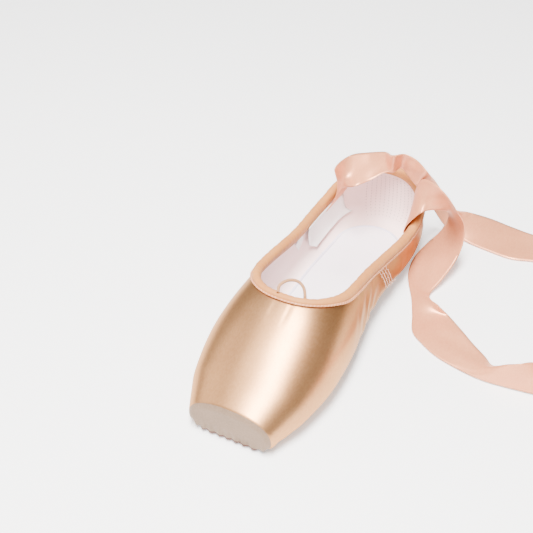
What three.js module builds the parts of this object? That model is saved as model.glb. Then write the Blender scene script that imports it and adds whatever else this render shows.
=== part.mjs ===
import * as THREE from "three";
import { mergeVertices } from "three/addons/utils/BufferGeometryUtils.js";

// Pointe shoe standing empty on its sole, in millimetres. The toe points to -Y, +Z is up and
// X = 0 is the plane of symmetry of the shoe body. The ribbons fall free behind it.

// Driving sizes
const LENGTH = 226; // platform to heel back
const BALL_WIDTH = 78.6; // across the widest part of the vamp
const INSTEP_HEIGHT = 57; // crown of the vamp at the throat, above the floor
const SOLE_THICKNESS = 2.5;
const INSOLE_THICKNESS = 1.9;
const GAP = 0.3; // clearance between neighbouring pieces
const TREAD_SHARE = 0.5; // flat underside, share of the width
const PLATFORM_WALL = 4.5; // stiffened end of the toe box
const PLATFORM_RADIUS = 2.6; // rounding of the platform's rim
const PLATFORM_END_AT = 0.1; // share of the length over which the stiffened end thins out
const HEEL_ROUND = 34; // length over which the plan closes round the heel
const HEEL_TUCK = 8; // how far the heel back turns in under itself
const HEEL_LEAN = 10; // how far the heel back leans in at the collar
const INSOLE_ROUND = 22; // length over which the insole's outline closes at each end
const INSOLE_CLEARANCE = 2.3; // between the insole edge and the lining
const TOE_DROP = 2.4; // how far the pleated toe edge sits below the feather edge
const SOLE_LAP = 7; // how far the outsole overlaps the edge of the upper

const HALF = BALL_WIDTH / 2;
const TOE_Y = -LENGTH / 2;

// The upper's sections. at: share of the length from the platform. half: half width, share of
// half the ball width. crown: top of the closed section, and girth: height of its widest
// point, both shares of the instep height. rise: height of the arch under the section, and
// wall: thickness, both in mm.
const SECTIONS = [
  { at: 0, half: 0.635, crown: 0.41, girth: 0.17, rise: 0, wall: 3.2 },
  { at: 0.05, half: 0.765, crown: 0.525, girth: 0.21, rise: 0, wall: 3 },
  { at: 0.1, half: 0.88, crown: 0.64, girth: 0.25, rise: 0, wall: 2.8 },
  { at: 0.2, half: 0.99, crown: 0.84, girth: 0.3, rise: 0, wall: 2.4 },
  { at: 0.28, half: 1, crown: 0.98, girth: 0.32, rise: 0, wall: 2.1 },
  { at: 0.36, half: 0.965, crown: 1.07, girth: 0.32, rise: 0, wall: 1.8 },
  { at: 0.45, half: 0.885, crown: 1.12, girth: 0.32, rise: 1.2, wall: 1.6 },
  { at: 0.54, half: 0.82, crown: 1.14, girth: 0.33, rise: 3.4, wall: 1.6 },
  { at: 0.63, half: 0.81, crown: 1.1, girth: 0.34, rise: 4.2, wall: 1.6 },
  { at: 0.72, half: 0.84, crown: 1.07, girth: 0.33, rise: 1.8, wall: 1.6 },
  { at: 0.8, half: 0.85, crown: 1.07, girth: 0.32, rise: 0, wall: 1.7 },
  { at: 0.87, half: 0.83, crown: 1.1, girth: 0.32, rise: 0, wall: 1.8 },
  { at: 1, half: 0.8, crown: 1.18, girth: 0.34, rise: 0, wall: 1.8 },
];
const LOWER_POWER = 2.2;
const UPPER_POWER = 2.3;
const HEEL_POWER = 2.3; // closing of the plan round the heel
const ROUND_POWER = 2; // plain elliptical rounding
const TIP_HALF = 0.4; // least half width of a plate's tip
const MIDDLE_STEP = 9; // spacing of a plate's middle stations

// The collar's edge. open: angle of the section left open on each side of its crown.
const THROAT_AT = 0.283;
const THROAT_ROUND = 0.116; // share of the length over which the throat rounds into the sides
const COLLAR = [
  { at: 0.28, open: 39 },
  { at: 0.35, open: 42.5 },
  { at: 0.43, open: 51 },
  { at: 0.51, open: 58 },
  { at: 0.59, open: 63.5 },
  { at: 0.68, open: 67 },
  { at: 0.8, open: 69.5 },
  { at: 0.88, open: 67.5 },
  { at: 0.94, open: 62 },
  { at: 1, open: 56 },
];

// The outsole's outline, half: half width as a share of half the ball width.
const SOLE_TIP_AT = 0.08;
const SOLE_END_AT = 0.955;
const SOLE_ROUND = 16; // length over which the outline closes at each end
const SOLE_OUTLINE = [
  { at: 0.08, half: 0.44 },
  { at: 0.16, half: 0.55 },
  { at: 0.26, half: 0.57 },
  { at: 0.38, half: 0.48 },
  { at: 0.52, half: 0.36 },
  { at: 0.64, half: 0.34 },
  { at: 0.76, half: 0.39 },
  { at: 0.86, half: 0.43 },
  { at: 0.955, half: 0.43 },
];
const INSOLE_TIP_AT = 0.22;
const INSOLE_END_AT = 0.925;

// Smooth value of one column of a table, by cubic pieces whose slopes come from the neighbours
function along(table, column, at) {
  const last = table.length - 1;
  let i = 0;
  while (i < last - 1 && at > table[i + 1].at) i += 1;
  const slope = (k) => {
    const a = table[Math.max(k - 1, 0)];
    const b = table[Math.min(k + 1, last)];
    return (b[column] - a[column]) / (b.at - a.at);
  };
  const step = table[i + 1].at - table[i].at;
  const u = THREE.MathUtils.clamp((at - table[i].at) / step, 0, 1);
  const from = table[i][column];
  const to = table[i + 1][column];
  const rest = (1 - u) * (1 - u);
  return (
    from * (1 + 2 * u) * rest +
    step * slope(i) * u * rest +
    to * u * u * (3 - 2 * u) +
    step * slope(i + 1) * u * u * (u - 1)
  );
}

// Superellipse closing: 1 at u = 0, 0 at u = 1
const rounding = (u, power) => Math.pow(1 - Math.pow(THREE.MathUtils.clamp(u, 0, 1), power), 1 / power);
const lengthwise = (at) => TOE_Y + LENGTH * at;
const heelShare = (at) => Math.max(0, (lengthwise(at) - LENGTH / 2 + HEEL_ROUND) / HEEL_ROUND);
const FLOOR_TO_UPPER = SOLE_THICKNESS + GAP;

// Height of the arch, and the small drop of the pleats in front of the outsole's tip
const riseAt = (at) =>
  Math.max(0, along(SECTIONS, "rise", at)) - TOE_DROP * Math.pow(Math.max(0, 1 - at / SOLE_TIP_AT), 1.5);

// One section of the last's form, drawn in by inset on every side
function sectionAt(at, inset) {
  const half = along(SECTIONS, "half", at) * HALF - inset;
  return {
    half: half * rounding(heelShare(at), HEEL_POWER),
    crown: along(SECTIONS, "crown", at) * INSTEP_HEIGHT - inset,
    girth: along(SECTIONS, "girth", at) * INSTEP_HEIGHT,
    base: FLOOR_TO_UPPER + riseAt(at) + inset,
  };
}

// A point of the form. turn runs 0 to 1 across the tread, 1 to 2 up the lower quarter and 2 to
// 3 over the upper quarter to the crown.
function formPoint(at, turn, inset, endInset) {
  const s = sectionAt(at, inset);
  const angle = (turn % 1) * (Math.PI / 2);
  let x = turn * TREAD_SHARE * s.half;
  let z = s.base;
  if (turn >= 1 && turn < 2) {
    x = s.half * (TREAD_SHARE + (1 - TREAD_SHARE) * Math.pow(Math.sin(angle), 2 / LOWER_POWER));
    z = s.girth - (s.girth - s.base) * Math.pow(Math.cos(angle), 2 / LOWER_POWER);
  }
  if (turn >= 2) {
    const over = turn >= 3 ? Math.PI / 2 : angle;
    x = turn >= 3 ? 0 : s.half * Math.pow(Math.cos(over), 2 / UPPER_POWER);
    z = s.girth + (s.crown - s.girth) * Math.pow(Math.sin(over), 2 / UPPER_POWER);
  }
  const back = heelShare(at);
  const low = THREE.MathUtils.clamp(1 - (z - s.base) / (s.girth - s.base), 0, 1);
  const high = Math.max(0, (z - s.girth) / (s.crown - s.girth));
  const tuck = HEEL_TUCK * (1 - Math.sqrt(1 - low * low));
  const lean = HEEL_LEAN * high * high;
  const front = Math.max(0, 1 - at / PLATFORM_END_AT);
  const y = lengthwise(at) - back * back * (tuck + lean + inset) + front * endInset;
  return new THREE.Vector3(x, y, z);
}

// Half width of the outsole or of the opening it covers, drawn in by lap
function soleHalf(at, lap) {
  const tip = lengthwise(SOLE_TIP_AT) + lap;
  const end = lengthwise(SOLE_END_AT) - lap;
  const y = lengthwise(at);
  if (y <= tip || y >= end) return 0;
  const front = rounding((tip + SOLE_ROUND - y) / SOLE_ROUND, ROUND_POWER);
  const back = rounding((y - end + SOLE_ROUND) / SOLE_ROUND, ROUND_POWER);
  return Math.max(0, along(SOLE_OUTLINE, "half", at) * HALF - lap) * front * back;
}

const collarTurn = (at) => {
  if (at <= THROAT_AT) return 3;
  const open = along(COLLAR, "open", at) * rounding(1 - (at - THROAT_AT) / THROAT_ROUND, ROUND_POWER);
  return 3 - open / 90;
};

// Geometry from half of a body (x >= 0): its points and faces are mirrored and merged on X = 0
function mirrored(points, faces) {
  const position = [];
  const index = [];
  const add = (side) => {
    const first = position.length / 3;
    points.forEach((p) => position.push(side * (Math.abs(p.x) < 1e-4 ? 0 : p.x), p.y, p.z));
    faces.forEach(([a, b, c]) => {
      const facing = side > 0 ? [a, b, c] : [a, c, b];
      index.push(...facing.map((k) => k + first));
    });
  };
  add(1);
  add(-1);
  return welded(position, index);
}

// Merged geometry without the faces that collapse
function welded(position, index) {
  const raw = new THREE.BufferGeometry();
  raw.setAttribute("position", new THREE.Float32BufferAttribute(position, 3));
  raw.setIndex(index);
  const geometry = mergeVertices(raw, 1e-3);
  const kept = [];
  for (let i = 0; i < geometry.index.count; i += 3) {
    const [a, b, c] = [0, 1, 2].map((k) => geometry.index.getX(i + k));
    if (a !== b && b !== c && a !== c) kept.push(a, b, c);
  }
  geometry.setIndex(kept);
  geometry.computeVertexNormals();
  return geometry;
}

// Faces between two rows of points, rowA[k] joined to rowB[k]
function strip(faces, rowA, rowB) {
  for (let k = 0; k + 1 < rowA.length; k += 1) {
    faces.push([rowA[k], rowB[k], rowB[k + 1]], [rowA[k], rowB[k + 1], rowA[k + 1]]);
  }
}

// Stations along the shoe: where openings start and end, and closer together at the heel
function stations() {
  const marks = [0.03, 0.06, SOLE_TIP_AT + SOLE_LAP / LENGTH];
  for (let at = 0.125; at < THROAT_AT - 0.01; at += 0.027) marks.push(at);
  for (const u of [0, 0.02, 0.07, 0.15, 0.27, 0.42, 0.6, 0.8]) marks.push(THROAT_AT + u * THROAT_ROUND);
  const heel = 1 - HEEL_ROUND / LENGTH;
  for (let at = THROAT_AT + THROAT_ROUND; at < heel - 0.01; at += 0.034) marks.push(at);
  for (let k = 0; k <= 10; k += 1) marks.push(heel + (1 - heel) * Math.sin((k / 10) * (Math.PI / 2)));
  marks.push(SOLE_END_AT - SOLE_LAP / LENGTH);
  return marks.sort((a, b) => a - b);
}

const WIDEST_OPENING = 0.96; // most of the tread that the sole opening takes
const TREAD_STEPS = 1;
const LOWER_STEPS = 5;
const UPPER_STEPS = 7;

// Turns of the points of one station, from the sole opening's edge to the collar's edge
function turnsAt(at, inset) {
  const tread = TREAD_SHARE * Math.max(sectionAt(at, inset).half, 1);
  const first = Math.min(soleHalf(at, SOLE_LAP) / tread, WIDEST_OPENING);
  const last = collarTurn(at);
  const turns = [];
  for (let k = 0; k < TREAD_STEPS; k += 1) turns.push(first + ((1 - first) * k) / TREAD_STEPS);
  for (let k = 0; k < LOWER_STEPS; k += 1) turns.push(1 + k / LOWER_STEPS);
  for (let k = 0; k <= UPPER_STEPS; k += 1) turns.push(2 + ((last - 2) * k) / UPPER_STEPS);
  return turns;
}

function upperGeometry() {
  const points = [];
  const faces = [];
  const keep = (p) => points.push(p) - 1;
  const rows = { outer: [], inner: [] };
  // Rounded rim of the platform, then the sections behind it
  const rim = [0, 30, 60].map((degrees) => THREE.MathUtils.degToRad(degrees));
  for (const [name, sign] of [["outer", 0], ["inner", 1]]) {
    const wall = (at) => sign * along(SECTIONS, "wall", at);
    const end = sign * PLATFORM_WALL;
    for (const a of rim) {
      const drawn = wall(0) + PLATFORM_RADIUS * (1 - Math.sin(a));
      rows[name].push(
        turnsAt(0, 0).map((turn) => {
          const p = formPoint(0, turn, drawn, 0);
          p.y = TOE_Y + end + PLATFORM_RADIUS * (1 - Math.cos(a));
          return keep(p);
        }),
      );
    }
    for (const at of stations()) {
      rows[name].push(turnsAt(at, wall(at)).map((turn) => keep(formPoint(at, turn, wall(at), end))));
    }
  }
  const { outer, inner } = rows;
  // Platform faces, outside and inside, as rings about a centre
  for (const row of [outer[0], inner[0]]) {
    const middle = new THREE.Vector3(0, points[row[0]].y, (points[row[0]].z + points[row.at(-1)].z) / 2);
    const ring = row.map((k) => keep(points[k].clone().lerp(middle, 0.5)));
    const centre = keep(middle);
    const faced = [];
    strip(faced, row, ring);
    for (let k = 0; k + 1 < ring.length; k += 1) faced.push([ring[k], centre, ring[k + 1]]);
    faced.forEach(([a, b, c]) => faces.push(row === outer[0] ? [a, c, b] : [a, b, c]));
  }
  for (let i = 0; i + 1 < outer.length; i += 1) {
    strip(faces, outer[i], outer[i + 1]);
    strip(faces, inner[i + 1], inner[i]);
    // Edges of the collar and of the sole opening
    strip(faces, [outer[i].at(-1), inner[i].at(-1)], [outer[i + 1].at(-1), inner[i + 1].at(-1)]);
    strip(faces, [outer[i + 1][0], inner[i + 1][0]], [outer[i][0], inner[i][0]]);
  }
  return mirrored(points, faces);
}

// A plate between two surfaces over a half outline: rows of { y, edge: [half at bottom, at top] }
function plateGeometry(rows, bottom, top, steps) {
  const points = [];
  const faces = [];
  const lower = [];
  const upper = [];
  for (const { y, low, high } of rows) {
    const across = [...Array(steps + 1).keys()].map((k) => k / steps);
    lower.push(across.map((u) => points.push(new THREE.Vector3(u * low, y, bottom(y))) - 1));
    upper.push(across.map((u) => points.push(new THREE.Vector3(u * high, y, top(y))) - 1));
  }
  for (let i = 0; i + 1 < rows.length; i += 1) {
    strip(faces, lower[i], lower[i + 1]);
    strip(faces, upper[i + 1], upper[i]);
    strip(faces, [lower[i].at(-1), upper[i].at(-1)], [lower[i + 1].at(-1), upper[i + 1].at(-1)]);
  }
  const cap = (i) => [lower[i], upper[i]];
  strip(faces, cap(0)[1], cap(0)[0]);
  strip(faces, cap(rows.length - 1)[0], cap(rows.length - 1)[1]);
  return mirrored(points, faces);
}

const shareOf = (y) => (y - TOE_Y) / LENGTH;
const baseAt = (y) => sectionAt(shareOf(y), 0).base;

// Lengthwise stations of a plate whose ends are rounded over a given length
function plateStations(from, to, round, endSteps, middleStep) {
  const ys = [];
  const angle = (k) => (k / endSteps) * (Math.PI / 2);
  for (let k = 0; k < endSteps; k += 1) ys.push(from + round * (1 - Math.cos(angle(k))));
  const inner = Math.max(1, Math.round((to - from - 2 * round) / middleStep));
  for (let k = 0; k < inner; k += 1) ys.push(from + round + ((to - from - 2 * round) * k) / inner);
  for (let k = 0; k <= endSteps; k += 1) ys.push(to - round * (1 - Math.sin(angle(k))));
  return ys;
}

function outsoleGeometry() {
  const from = lengthwise(SOLE_TIP_AT) + 0.01;
  const to = lengthwise(SOLE_END_AT) - 0.01;
  const rows = plateStations(from, to, SOLE_ROUND, 7, MIDDLE_STEP).map((y) => {
    const half = Math.max(soleHalf(shareOf(y), 0), TIP_HALF);
    return { y, low: half, high: half };
  });
  return plateGeometry(rows, (y) => baseAt(y) - GAP - SOLE_THICKNESS, (y) => baseAt(y) - GAP, 3);
}

// Half width of the form's inside at a height above its inner floor
function innerHalf(at, height) {
  const wall = along(SECTIONS, "wall", at);
  const s = sectionAt(at, wall);
  const climb = THREE.MathUtils.clamp(height / (s.girth - s.base), 0, 1);
  return s.half * (TREAD_SHARE + (1 - TREAD_SHARE) * rounding(1 - climb, LOWER_POWER));
}

const floorInside = (y) => sectionAt(shareOf(y), along(SECTIONS, "wall", shareOf(y))).base;

function insoleGeometry() {
  const from = lengthwise(INSOLE_TIP_AT);
  const to = lengthwise(INSOLE_END_AT);
  const rows = plateStations(from, to, INSOLE_ROUND, 8, MIDDLE_STEP).map((y) => {
    const at = shareOf(y);
    const front = rounding((from + INSOLE_ROUND - y) / INSOLE_ROUND, ROUND_POWER);
    const back = rounding((y - to + INSOLE_ROUND) / INSOLE_ROUND, HEEL_POWER);
    const half = (height) => Math.max(TIP_HALF, front * back * (innerHalf(at, height) - INSOLE_CLEARANCE));
    return { y, low: half(GAP), high: half(GAP + INSOLE_THICKNESS) };
  });
  const under = (y) => floorInside(y) + GAP * 1.5;
  return plateGeometry(rows, under, (y) => under(y) + INSOLE_THICKNESS, 4);
}

// Direction out of the form at one of its points, from two short steps on it
function outward(at, turn) {
  const step = at > 0.5 ? -1e-4 : 1e-3;
  const here = formPoint(at, turn, 0, 0);
  const lengthStep = formPoint(at + step, turn, 0, 0).sub(here);
  const turnStep = formPoint(at, turn - 0.03, 0, 0).sub(here);
  const normal = new THREE.Vector3().crossVectors(lengthStep, turnStep).multiplyScalar(-Math.sign(step));
  if (Math.abs(here.x) < 1e-6) normal.x = 0;
  return normal.normalize();
}

// Collar edge: middle of the wall's rim and the direction out of the wall, throat to heel
function collarPath() {
  const path = [];
  for (const at of stations().filter((s) => s >= THROAT_AT)) {
    const turn = collarTurn(at);
    const wall = along(SECTIONS, "wall", at);
    const middle = formPoint(at, turn, 0, 0).lerp(formPoint(at, turn, wall, 0), 0.5);
    path.push({ middle, away: outward(at, turn) });
  }
  const flip = ({ middle, away }) => ({
    middle: middle.clone().multiply(new THREE.Vector3(-1, 1, 1)),
    away: away.clone().multiply(new THREE.Vector3(-1, 1, 1)),
  });
  return [...path, ...path.slice(1, -1).reverse().map(flip)];
}

// Binding: profile across the collar, in mm. out: from the wall's middle outwards. up: past
// the edge. It is a rolled casing over the edge with a stitched flange on the outside.
const BINDING = [
  { out: 1.7, up: -3.6 },
  { out: 2.5, up: -3.6 },
  { out: 2.5, up: -2 },
  { out: 3, up: -1.2 },
  { out: 3.3, up: 0.4 },
  { out: 2.6, up: 2.1 },
  { out: 0.8, up: 2.9 },
  { out: -1.2, up: 2.3 },
  { out: -2.3, up: 0.7 },
  { out: -2.6, up: -2.6 },
  { out: -1.8, up: -2.6 },
  { out: -1.5, up: 0.5 },
  { out: 1.5, up: 0.5 },
];

function loopSweep(path, profile) {
  const points = [];
  const faces = [];
  const n = path.length;
  const rows = path.map(({ middle, away }, i) => {
    const tangent = path[(i + 1) % n].middle.clone().sub(path[(i + n - 1) % n].middle).normalize();
    const out = away.clone().addScaledVector(tangent, -away.dot(tangent)).normalize();
    const up = new THREE.Vector3().crossVectors(out, tangent).normalize();
    const place = (p) => middle.clone().addScaledVector(out, p.out).addScaledVector(up, p.up);
    return profile.map((p) => points.push(place(p)) - 1);
  });
  rows.forEach((row, i) => {
    const next = rows[(i + 1) % n];
    strip(faces, [...row, row[0]], [...next, next[0]]);
  });
  const position = points.flatMap((p) => [p.x, p.y, p.z]);
  return welded(position, faces.flat());
}

// The ribbons, each sewn inside the collar and falling free. Rows give the two edges, a and b,
// from above the collar to the free end, mm.
const RIBBON_THICKNESS = 0.6;
const RIBBON_WIDTH = 23;
const RIBBON_SEAT_AT = 0.85; // middle of both sewn ends, share of the length
const RIBBON_SEAT = [
  { drop: 24, inset: 1.3 },
  { drop: 14, inset: 1.6 },
  { drop: 6, inset: 2.6 },
  { drop: 0, inset: 4 },
];
const RIBBON_LEFT = [
  { ax: -25, ay: 71, az: 61.8, bx: -22, by: 79, bz: 43.2 },
  { ax: -23, ay: 94, az: 60, bx: -12, by: 74, bz: 51 },
  { ax: -14, ay: 100, az: 61, bx: -5, by: 82, bz: 53 },
  { ax: -6, ay: 107, az: 60, bx: 2, by: 89, bz: 57 },
  { ax: 8, ay: 88, az: 72.8, bx: 7, by: 91, bz: 58 },
  { ax: 13, ay: 93, az: 72.4, bx: 10, by: 98, bz: 58 },
  { ax: 21, ay: 92, az: 71.4, bx: 17, by: 93, bz: 57 },
  { ax: 32, ay: 83, az: 71.6, bx: 23, by: 90, bz: 54.5 },
  { ax: 32, ay: 101, az: 54, bx: 30, by: 89, bz: 49.5 },
  { ax: 34, ay: 112, az: 40, bx: 27, by: 117, bz: 21.6 },
  { ax: 42, ay: 118, az: 24, bx: 37, by: 122, bz: 4.6 },
  { ax: 48, ay: 137, az: 10, bx: 52, by: 117, bz: 1.5 },
  { ax: 61, ay: 145, az: 4, bx: 70, by: 114, bz: 1 },
  { ax: 76, ay: 146, az: 1.5, bx: 87, by: 113, bz: 1 },
  { ax: 92, ay: 145, az: 1, bx: 100, by: 117, bz: 1 },
  { ax: 125, ay: 147, az: 1.5, bx: 128, by: 124, bz: 1 },
  { ax: 146, ay: 147, az: 9, bx: 148, by: 126, bz: 1 },
  { ax: 164, ay: 142, az: 20, bx: 167, by: 129.5, bz: 1 },
  { ax: 183, ay: 143, az: 23.4, bx: 184, by: 141, bz: 0.8 },
  { ax: 190, ay: 158, az: 23.6, bx: 191.5, by: 158, bz: 0.8 },
  { ax: 181, ay: 173, az: 23, bx: 184, by: 177, bz: 0.8 },
  { ax: 164, ay: 172, az: 14, bx: 166, by: 190, bz: 0.8 },
  { ax: 143, ay: 171, az: 3.5, bx: 144, by: 194, bz: 1 },
  { ax: 114, ay: 176, az: 1.2, bx: 117, by: 199, bz: 1 },
];
const RIBBON_RIGHT = [
  { ax: 27, ay: 87, az: 60, bx: 35, by: 71, bz: 48 },
  { ax: 38, ay: 78, az: 68, bx: 39, by: 77, bz: 48 },
  { ax: 48, ay: 75, az: 64.6, bx: 44, by: 83, bz: 46 },
  { ax: 54, ay: 84, az: 48, bx: 45, by: 97, bz: 35 },
  { ax: 59, ay: 89, az: 34.8, bx: 44, by: 101, bz: 26.2 },
  { ax: 60, ay: 87, az: 20, bx: 41, by: 98, bz: 18 },
  { ax: 59, ay: 78, az: 12, bx: 35, by: 92, bz: 10 },
  { ax: 56, ay: 65, az: 6, bx: 31, by: 80, bz: 5 },
  { ax: 53, ay: 52, az: 2, bx: 33, by: 65, bz: 2.5 },
  { ax: 63, ay: 40, az: 6.7, bx: 44, by: 44, bz: 1 },
  { ax: 71, ay: 39, az: 2, bx: 50, by: 30, bz: 1 },
  { ax: 83, ay: 29, az: 3, bx: 56, by: 16, bz: 1 },
  { ax: 93, ay: 21, az: 3, bx: 65, by: 9, bz: 1 },
  { ax: 103, ay: 13, az: 4, bx: 76, by: 3, bz: 1 },
  { ax: 110, ay: 4, az: 8, bx: 91, by: -1, bz: 1 },
  { ax: 119, ay: -1, az: 17, bx: 106, by: -3, bz: 1 },
  { ax: 126, ay: -1, az: 20.6, bx: 121, by: -2, bz: 1 },
  { ax: 132, ay: 4, az: 20.2, bx: 137, by: 0, bz: 1 },
  { ax: 158, ay: 22, az: 9, bx: 163, by: 2, bz: 1 },
  { ax: 180, ay: 24, az: 6, bx: 184, by: 2, bz: 1 },
  { ax: 203, ay: 17, az: 15.5, bx: 204, by: -1, bz: 1 },
  { ax: 221, ay: -4, az: 23, bx: 219, by: -8, bz: 0.8 },
  { ax: 226, ay: -22, az: 23.4, bx: 225, by: -23, bz: 0.8 },
  { ax: 214, ay: -43, az: 21.8, bx: 213, by: -35, bz: 0.8 },
  { ax: 195, ay: -57, az: 10, bx: 194, by: -36, bz: 0.8 },
  { ax: 172, ay: -62, az: 1.5, bx: 173, by: -39, bz: 1 },
];

const QUARTER_ARC = 0.85; // arc of one turn, share of the instep height

// Pair of edge points on the lining, below the collar's edge by a drop in mm
function seatRow(side, drop, inset) {
  const reach = RIBBON_WIDTH / 2 / LENGTH;
  const edge = (at) => {
    const turn = collarTurn(at) - drop / (INSTEP_HEIGHT * QUARTER_ARC);
    const p = formPoint(at, turn, along(SECTIONS, "wall", at) + inset, 0);
    p.x *= side;
    return p;
  };
  return [edge(RIBBON_SEAT_AT + reach), edge(RIBBON_SEAT_AT - reach)];
}

// Closed strip between two edge curves, thickened to both sides
function ribbonGeometry(side, rows) {
  const seat = RIBBON_SEAT.map(({ drop, inset }) => seatRow(side, drop, inset));
  const edges = (r) => [new THREE.Vector3(r.ax, r.ay, r.az), new THREE.Vector3(r.bx, r.by, r.bz)];
  const free = rows.map(edges);
  const all = [...seat, ...free];
  const smooth = (points) => new THREE.CatmullRomCurve3(points, false, "centripetal");
  const curves = [0, 1].map((k) => smooth(all.map((pair) => pair[k])));
  const count = (all.length - 1) * 3;
  const sample = (k, curve) => curve.getPoint(THREE.MathUtils.clamp(k, 0, count) / count);
  const points = [];
  const faces = [];
  const rings = [];
  for (let k = 0; k <= count; k += 1) {
    const [a, b] = curves.map((curve) => sample(k, curve));
    const middle = (j) => sample(j, curves[0]).add(sample(j, curves[1]));
    const tangent = middle(k + 0.5).sub(middle(k - 0.5));
    const normal = new THREE.Vector3().crossVectors(b.clone().sub(a), tangent).normalize();
    const half = RIBBON_THICKNESS / 2;
    rings.push(
      [
        a.clone().addScaledVector(normal, half),
        b.clone().addScaledVector(normal, half),
        b.clone().addScaledVector(normal, -half),
        a.clone().addScaledVector(normal, -half),
      ].map((p) => points.push(p) - 1),
    );
  }
  for (let i = 0; i + 1 < rings.length; i += 1) {
    const now = rings[i];
    const next = rings[i + 1];
    // Both walls are split along the same diagonal, so they stay apart where the ribbon twists
    strip(faces, [next[0], next[1], next[2]], [now[0], now[1], now[2]]);
    faces.push([next[2], now[2], next[3]], [now[2], now[3], next[3]]);
    strip(faces, [next[3], next[0]], [now[3], now[0]]);
  }
  const first = rings[0];
  const last = rings.at(-1);
  faces.push([first[0], first[2], first[1]], [first[0], first[3], first[2]]);
  faces.push([last[0], last[1], last[2]], [last[0], last[2], last[3]]);
  return welded(points.flatMap((p) => [p.x, p.y, p.z]), faces.flat());
}

// Drawstring: a short loop of cord out of the casing at the throat, its end tucked inside
const CORD_DIAMETER = 1.8;
const CORD_SIDES = 8;
const DRAWSTRING = [
  { x: -3, y: -49.5, z: 59.5 },
  { x: -3.4, y: -46.3, z: 61.8 },
  { x: -0.5, y: -41, z: 62.6 },
  { x: 4, y: -38.5, z: 61.6 },
  { x: 8, y: -39.5, z: 59.6 },
  { x: 10.9, y: -43.3, z: 56.4 },
  { x: 10.3, y: -43.5, z: 51.8 },
];

function cordGeometry(rows, diameter) {
  const curve = new THREE.CatmullRomCurve3(rows.map((p) => new THREE.Vector3(p.x, p.y, p.z)));
  const circle = new THREE.Shape();
  for (let k = 0; k < CORD_SIDES; k += 1) {
    const angle = (k / CORD_SIDES) * Math.PI * 2;
    const [x, y] = [Math.cos(angle) * (diameter / 2), Math.sin(angle) * (diameter / 2)];
    if (k === 0) circle.moveTo(x, y);
    else circle.lineTo(x, y);
  }
  circle.closePath();
  const tube = new THREE.ExtrudeGeometry(circle, { steps: rows.length * 3, extrudePath: curve });
  tube.deleteAttribute("normal");
  tube.deleteAttribute("uv");
  return mergeVertices(tube, 1e-3);
}

const root = new THREE.Group();
root.name = "pointe_shoe";
function piece(name, geometry, colour, roughness) {
  const material = new THREE.MeshStandardMaterial({ color: colour, roughness, metalness: 0 });
  const mesh = new THREE.Mesh(geometry, material);
  mesh.name = name;
  root.add(mesh);
}

piece("upper", upperGeometry(), "#e3c39f", 0.4);
piece("outsole", outsoleGeometry(), "#b08a63", 0.75);
piece("insole", insoleGeometry(), "#f1ece8", 0.85);
piece("binding", loopSweep(collarPath(), BINDING), "#efcba4", 0.6);

piece("drawstring_loop", cordGeometry(DRAWSTRING, CORD_DIAMETER), "#d8a684", 0.6);
piece("ribbon_left", ribbonGeometry(-1, RIBBON_LEFT), "#f2cdb8", 0.4);
piece("ribbon_right", ribbonGeometry(1, RIBBON_RIGHT), "#f2cdb8", 0.4);

export default root;
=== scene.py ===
"""Pointe shoe: satin upper, bound collar, insole, leather outsole and two loose ribbons."""

import math

import bmesh
import bpy
import numpy as np
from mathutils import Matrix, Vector


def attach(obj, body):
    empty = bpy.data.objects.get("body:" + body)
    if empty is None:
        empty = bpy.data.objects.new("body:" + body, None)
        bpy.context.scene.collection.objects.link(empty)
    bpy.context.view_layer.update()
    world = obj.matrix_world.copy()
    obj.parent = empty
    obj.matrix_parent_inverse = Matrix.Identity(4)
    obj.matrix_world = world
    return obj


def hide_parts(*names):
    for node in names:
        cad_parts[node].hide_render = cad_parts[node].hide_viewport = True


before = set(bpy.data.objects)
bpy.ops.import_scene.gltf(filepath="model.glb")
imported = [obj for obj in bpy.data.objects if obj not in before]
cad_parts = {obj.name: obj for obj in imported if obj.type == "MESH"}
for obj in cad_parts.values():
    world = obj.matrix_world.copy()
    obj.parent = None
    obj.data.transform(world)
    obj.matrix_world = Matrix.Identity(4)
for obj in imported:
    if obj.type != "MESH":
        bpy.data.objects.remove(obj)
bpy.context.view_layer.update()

MM = 0.001

# Sizes of the shoe's form, in millimetres, as in the part's source
LENGTH = 226.0
BALL_WIDTH = 78.6
INSTEP_HEIGHT = 57.0
SOLE_THICKNESS = 2.5
INSOLE_THICKNESS = 1.9
GAP = 0.3
TREAD_SHARE = 0.5
PLATFORM_WALL = 4.5
PLATFORM_RADIUS = 2.6
PLATFORM_END_AT = 0.1
HEEL_ROUND = 34.0
HEEL_TUCK = 8.0
HEEL_LEAN = 10.0
TOE_DROP = 2.4
SOLE_LAP = 7.0
INSOLE_CLEARANCE = 2.3
INSOLE_ROUND = 22.0
LOWER_POWER = 2.2
UPPER_POWER = 2.3
HEEL_POWER = 2.3
THROAT_AT = 0.283
THROAT_ROUND = 0.116
SOLE_TIP_AT = 0.08
SOLE_END_AT = 0.955
SOLE_ROUND = 16.0
INSOLE_TIP_AT = 0.22
INSOLE_END_AT = 0.925
HALF = BALL_WIDTH / 2
TOE_Y = -LENGTH / 2

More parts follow.
